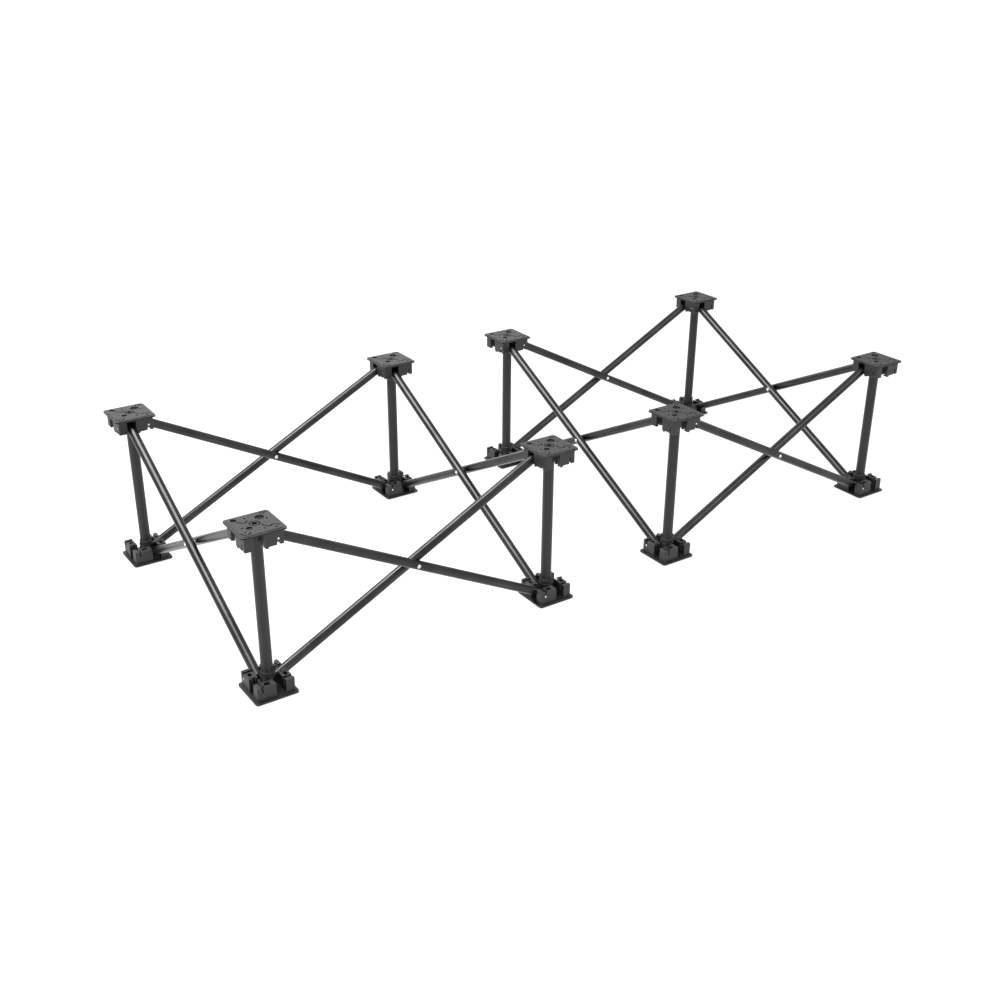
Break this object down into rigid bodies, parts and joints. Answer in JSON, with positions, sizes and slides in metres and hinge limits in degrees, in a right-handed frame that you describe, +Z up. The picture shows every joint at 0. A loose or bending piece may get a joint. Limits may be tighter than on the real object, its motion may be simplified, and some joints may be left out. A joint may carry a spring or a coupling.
{
  "type": "stage riser platform",
  "caption": "Folding stage riser support: square frames of upright legs, braced on every side by crossed tubes that pivot in moulded hubs with flat locating faces for a stage deck",
  "frame": {"origin": "on the floor, under the middle of the pair of frames", "axes": "+X along the row of frames, +Y from the front to the back, +Z up"},
  "size_m": [1.9724, 0.8404, 0.4],
  "materials": {
    "hub": "moulded, fine texture",
    "leg": "powder coated, satin",
    "tube": "dark anodised, satin",
    "pin": "zinc plated"
  },
  "bodies": {
    "frame1_foot_front_left": {"frame1_foot_hub_front_left": "hub", "frame1_foot_pins_front_left": "pin"},
    "frame1_top_front_left": {"frame1_top_hub_front_left": "hub", "frame1_top_pins_front_left": "pin", "frame1_leg_front_left": "leg"},
    "frame1_foot_front_right": {"frame1_foot_hub_front_right": "hub", "frame1_foot_pins_front_right": "pin"},
    "frame1_top_front_right": {"frame1_top_hub_front_right": "hub", "frame1_top_pins_front_right": "pin", "frame1_leg_front_right": "leg"},
    "frame1_foot_back_right": {"frame1_foot_hub_back_right": "hub", "frame1_foot_pins_back_right": "pin"},
    "frame1_top_back_right": {"frame1_top_hub_back_right": "hub", "frame1_top_pins_back_right": "pin", "frame1_leg_back_right": "leg"},
    "frame1_foot_back_left": {"frame1_foot_hub_back_left": "hub", "frame1_foot_pins_back_left": "pin"},
    "frame1_top_back_left": {"frame1_top_hub_back_left": "hub", "frame1_top_pins_back_left": "pin", "frame1_leg_back_left": "leg"},
    "frame1_rise_front": {"frame1_rise_tube_front": "tube"},
    "frame1_fall_front": {"frame1_fall_tube_front": "tube"},
    "frame1_rise_right": {"frame1_rise_tube_right": "tube"},
    "frame1_fall_right": {"frame1_fall_tube_right": "tube"},
    "frame1_rise_back": {"frame1_rise_tube_back": "tube"},
    "frame1_fall_back": {"frame1_fall_tube_back": "tube"},
    "frame1_rise_left": {"frame1_rise_tube_left": "tube"},
    "frame1_fall_left": {"frame1_fall_tube_left": "tube"},
    "frame2_foot_front_left": {"frame2_foot_hub_front_left": "hub", "frame2_foot_pins_front_left": "pin"},
    "frame2_top_front_left": {"frame2_top_hub_front_left": "hub", "frame2_top_pins_front_left": "pin", "frame2_leg_front_left": "leg"},
    "frame2_foot_front_right": {"frame2_foot_hub_front_right": "hub", "frame2_foot_pins_front_right": "pin"},
    "frame2_top_front_right": {"frame2_top_hub_front_right": "hub", "frame2_top_pins_front_right": "pin", "frame2_leg_front_right": "leg"},
    "frame2_foot_back_right": {"frame2_foot_hub_back_right": "hub", "frame2_foot_pins_back_right": "pin"},
    "frame2_top_back_right": {"frame2_top_hub_back_right": "hub", "frame2_top_pins_back_right": "pin", "frame2_leg_back_right": "leg"},
    "frame2_foot_back_left": {"frame2_foot_hub_back_left": "hub", "frame2_foot_pins_back_left": "pin"},
    "frame2_top_back_left": {"frame2_top_hub_back_left": "hub", "frame2_top_pins_back_left": "pin", "frame2_leg_back_left": "leg"},
    "frame2_rise_front": {"frame2_rise_tube_front": "tube"},
    "frame2_fall_front": {"frame2_fall_tube_front": "tube"},
    "frame2_rise_right": {"frame2_rise_tube_right": "tube"},
    "frame2_fall_right": {"frame2_fall_tube_right": "tube"},
    "frame2_rise_back": {"frame2_rise_tube_back": "tube"},
    "frame2_fall_back": {"frame2_fall_tube_back": "tube"},
    "frame2_rise_left": {"frame2_rise_tube_left": "tube"},
    "frame2_fall_left": {"frame2_fall_tube_left": "tube"}
  },
  "joints": [
    {"name": "frame1_fold", "type": "hinge", "parent": "frame1_foot_front_left", "child": "frame1_rise_front", "pos_m": [-0.905, -0.3585, 0.025], "axis": [0, -1, 0], "range_deg": [0, 59.5]},
    {"name": "frame1_cross_front", "type": "hinge", "parent": "frame1_rise_front", "child": "frame1_fall_front", "pos_m": [-0.566, -0.37, 0.2], "axis": [0, -1, 0], "range_deg": [-119.5, 0.5]},
    {"name": "frame1_pivot_foot_front_right", "type": "hinge", "parent": "frame1_fall_front", "child": "frame1_foot_front_right", "pos_m": [-0.227, -0.3815, 0.025], "axis": [0, -1, 0], "range_deg": [-0.5, 60]},
    {"name": "frame1_pivot_top_front_left", "type": "hinge", "parent": "frame1_fall_front", "child": "frame1_top_front_left", "pos_m": [-0.905, -0.3815, 0.375], "axis": [0, -1, 0], "range_deg": [-0.5, 60]},
    {"name": "frame1_pivot_top_front_right", "type": "hinge", "parent": "frame1_rise_front", "child": "frame1_top_front_right", "pos_m": [-0.227, -0.3585, 0.375], "axis": [0, -1, 0], "range_deg": [-60, 0.5]},
    {"name": "frame1_pivot_fall_left", "type": "hinge", "parent": "frame1_foot_front_left", "child": "frame1_fall_left", "pos_m": [-0.9475, -0.339, 0.025], "axis": [-1, 0, 0], "range_deg": [-60, 0.5]},
    {"name": "frame1_cross_left", "type": "hinge", "parent": "frame1_fall_left", "child": "frame1_rise_left", "pos_m": [-0.936, 0, 0.2], "axis": [-1, 0, 0], "range_deg": [-0.5, 119.5]},
    {"name": "frame1_pivot_foot_back_left", "type": "hinge", "parent": "frame1_rise_left", "child": "frame1_foot_back_left", "pos_m": [-0.9245, 0.339, 0.025], "axis": [-1, 0, 0], "range_deg": [-60, 0.5]},
    {"name": "frame1_pivot_top_back_left", "type": "hinge", "parent": "frame1_fall_left", "child": "frame1_top_back_left", "pos_m": [-0.9475, 0.339, 0.375], "axis": [-1, 0, 0], "range_deg": [-0.5, 60]},
    {"name": "frame1_pivot_rise_right", "type": "hinge", "parent": "frame1_foot_front_right", "child": "frame1_rise_right", "pos_m": [-0.2075, -0.339, 0.025], "axis": [1, 0, 0], "range_deg": [-0.5, 60]},
    {"name": "frame1_cross_right", "type": "hinge", "parent": "frame1_rise_right", "child": "frame1_fall_right", "pos_m": [-0.196, 0, 0.2], "axis": [1, 0, 0], "range_deg": [-119.5, 0.5]},
    {"name": "frame1_pivot_foot_back_right", "type": "hinge", "parent": "frame1_fall_right", "child": "frame1_foot_back_right", "pos_m": [-0.1845, 0.339, 0.025], "axis": [1, 0, 0], "range_deg": [-0.5, 60]},
    {"name": "frame1_pivot_top_back_right", "type": "hinge", "parent": "frame1_rise_right", "child": "frame1_top_back_right", "pos_m": [-0.2075, 0.339, 0.375], "axis": [1, 0, 0], "range_deg": [-60, 0.5]},
    {"name": "frame1_pivot_fall_back", "type": "hinge", "parent": "frame1_foot_back_left", "child": "frame1_fall_back", "pos_m": [-0.905, 0.3815, 0.025], "axis": [0, 1, 0], "range_deg": [-60, 0.5]},
    {"name": "frame1_cross_back", "type": "hinge", "parent": "frame1_fall_back", "child": "frame1_rise_back", "pos_m": [-0.566, 0.37, 0.2], "axis": [0, 1, 0], "range_deg": [-0.5, 119.5]},
    {"name": "frame2_fold", "type": "hinge", "parent": "frame2_foot_front_left", "child": "frame2_rise_front", "pos_m": [0.227, -0.3585, 0.025], "axis": [0, -1, 0], "range_deg": [0, 59.5]},
    {"name": "frame2_cross_front", "type": "hinge", "parent": "frame2_rise_front", "child": "frame2_fall_front", "pos_m": [0.566, -0.37, 0.2], "axis": [0, -1, 0], "range_deg": [-119.5, 0.5]},
    {"name": "frame2_pivot_foot_front_right", "type": "hinge", "parent": "frame2_fall_front", "child": "frame2_foot_front_right", "pos_m": [0.905, -0.3815, 0.025], "axis": [0, -1, 0], "range_deg": [-0.5, 60]},
    {"name": "frame2_pivot_top_front_left", "type": "hinge", "parent": "frame2_fall_front", "child": "frame2_top_front_left", "pos_m": [0.227, -0.3815, 0.375], "axis": [0, -1, 0], "range_deg": [-0.5, 60]},
    {"name": "frame2_pivot_top_front_right", "type": "hinge", "parent": "frame2_rise_front", "child": "frame2_top_front_right", "pos_m": [0.905, -0.3585, 0.375], "axis": [0, -1, 0], "range_deg": [-60, 0.5]},
    {"name": "frame2_pivot_fall_left", "type": "hinge", "parent": "frame2_foot_front_left", "child": "frame2_fall_left", "pos_m": [0.1845, -0.339, 0.025], "axis": [-1, 0, 0], "range_deg": [-60, 0.5]},
    {"name": "frame2_cross_left", "type": "hinge", "parent": "frame2_fall_left", "child": "frame2_rise_left", "pos_m": [0.196, 0, 0.2], "axis": [-1, 0, 0], "range_deg": [-0.5, 119.5]},
    {"name": "frame2_pivot_foot_back_left", "type": "hinge", "parent": "frame2_rise_left", "child": "frame2_foot_back_left", "pos_m": [0.2075, 0.339, 0.025], "axis": [-1, 0, 0], "range_deg": [-60, 0.5]},
    {"name": "frame2_pivot_top_back_left", "type": "hinge", "parent": "frame2_fall_left", "child": "frame2_top_back_left", "pos_m": [0.1845, 0.339, 0.375], "axis": [-1, 0, 0], "range_deg": [-0.5, 60]},
    {"name": "frame2_pivot_rise_right", "type": "hinge", "parent": "frame2_foot_front_right", "child": "frame2_rise_right", "pos_m": [0.9245, -0.339, 0.025], "axis": [1, 0, 0], "range_deg": [-0.5, 60]},
    {"name": "frame2_cross_right", "type": "hinge", "parent": "frame2_rise_right", "child": "frame2_fall_right", "pos_m": [0.936, 0, 0.2], "axis": [1, 0, 0], "range_deg": [-119.5, 0.5]},
    {"name": "frame2_pivot_foot_back_right", "type": "hinge", "parent": "frame2_fall_right", "child": "frame2_foot_back_right", "pos_m": [0.9475, 0.339, 0.025], "axis": [1, 0, 0], "range_deg": [-0.5, 60]},
    {"name": "frame2_pivot_top_back_right", "type": "hinge", "parent": "frame2_rise_right", "child": "frame2_top_back_right", "pos_m": [0.9245, 0.339, 0.375], "axis": [1, 0, 0], "range_deg": [-60, 0.5]},
    {"name": "frame2_pivot_fall_back", "type": "hinge", "parent": "frame2_foot_back_left", "child": "frame2_fall_back", "pos_m": [0.227, 0.3815, 0.025], "axis": [0, 1, 0], "range_deg": [-60, 0.5]},
    {"name": "frame2_cross_back", "type": "hinge", "parent": "frame2_fall_back", "child": "frame2_rise_back", "pos_m": [0.566, 0.37, 0.2], "axis": [0, 1, 0], "range_deg": [-0.5, 119.5]},
    {"name": "frame_spacing", "type": "slide", "parent": "frame1_foot_front_left", "child": "frame2_foot_front_left", "axis": [1, 0, 0], "range_m": [-0.28, 0.2]}
  ],
  "couplings": [
    {"joint": "frame1_cross_front", "follows": "frame1_fold", "ratio": -2},
    {"joint": "frame1_pivot_foot_front_right", "follows": "frame1_fold", "ratio": 1},
    {"joint": "frame1_pivot_top_front_left", "follows": "frame1_fold", "ratio": 1},
    {"joint": "frame1_pivot_top_front_right", "follows": "frame1_fold", "ratio": -1},
    {"joint": "frame1_pivot_fall_left", "follows": "frame1_fold", "ratio": -1},
    {"joint": "frame1_cross_left", "follows": "frame1_fold", "ratio": 2},
    {"joint": "frame1_pivot_foot_back_left", "follows": "frame1_fold", "ratio": -1},
    {"joint": "frame1_pivot_top_back_left", "follows": "frame1_fold", "ratio": 1},
    {"joint": "frame1_pivot_rise_right", "follows": "frame1_fold", "ratio": 1},
    {"joint": "frame1_cross_right", "follows": "frame1_fold", "ratio": -2},
    {"joint": "frame1_pivot_foot_back_right", "follows": "frame1_fold", "ratio": 1},
    {"joint": "frame1_pivot_top_back_right", "follows": "frame1_fold", "ratio": -1},
    {"joint": "frame1_pivot_fall_back", "follows": "frame1_fold", "ratio": -1},
    {"joint": "frame1_cross_back", "follows": "frame1_fold", "ratio": 2},
    {"joint": "frame2_cross_front", "follows": "frame2_fold", "ratio": -2},
    {"joint": "frame2_pivot_foot_front_right", "follows": "frame2_fold", "ratio": 1},
    {"joint": "frame2_pivot_top_front_left", "follows": "frame2_fold", "ratio": 1},
    {"joint": "frame2_pivot_top_front_right", "follows": "frame2_fold", "ratio": -1},
    {"joint": "frame2_pivot_fall_left", "follows": "frame2_fold", "ratio": -1},
    {"joint": "frame2_cross_left", "follows": "frame2_fold", "ratio": 2},
    {"joint": "frame2_pivot_foot_back_left", "follows": "frame2_fold", "ratio": -1},
    {"joint": "frame2_pivot_top_back_left", "follows": "frame2_fold", "ratio": 1},
    {"joint": "frame2_pivot_rise_right", "follows": "frame2_fold", "ratio": 1},
    {"joint": "frame2_cross_right", "follows": "frame2_fold", "ratio": -2},
    {"joint": "frame2_pivot_foot_back_right", "follows": "frame2_fold", "ratio": 1},
    {"joint": "frame2_pivot_top_back_right", "follows": "frame2_fold", "ratio": -1},
    {"joint": "frame2_pivot_fall_back", "follows": "frame2_fold", "ratio": -1},
    {"joint": "frame2_cross_back", "follows": "frame2_fold", "ratio": 2}
  ]
}
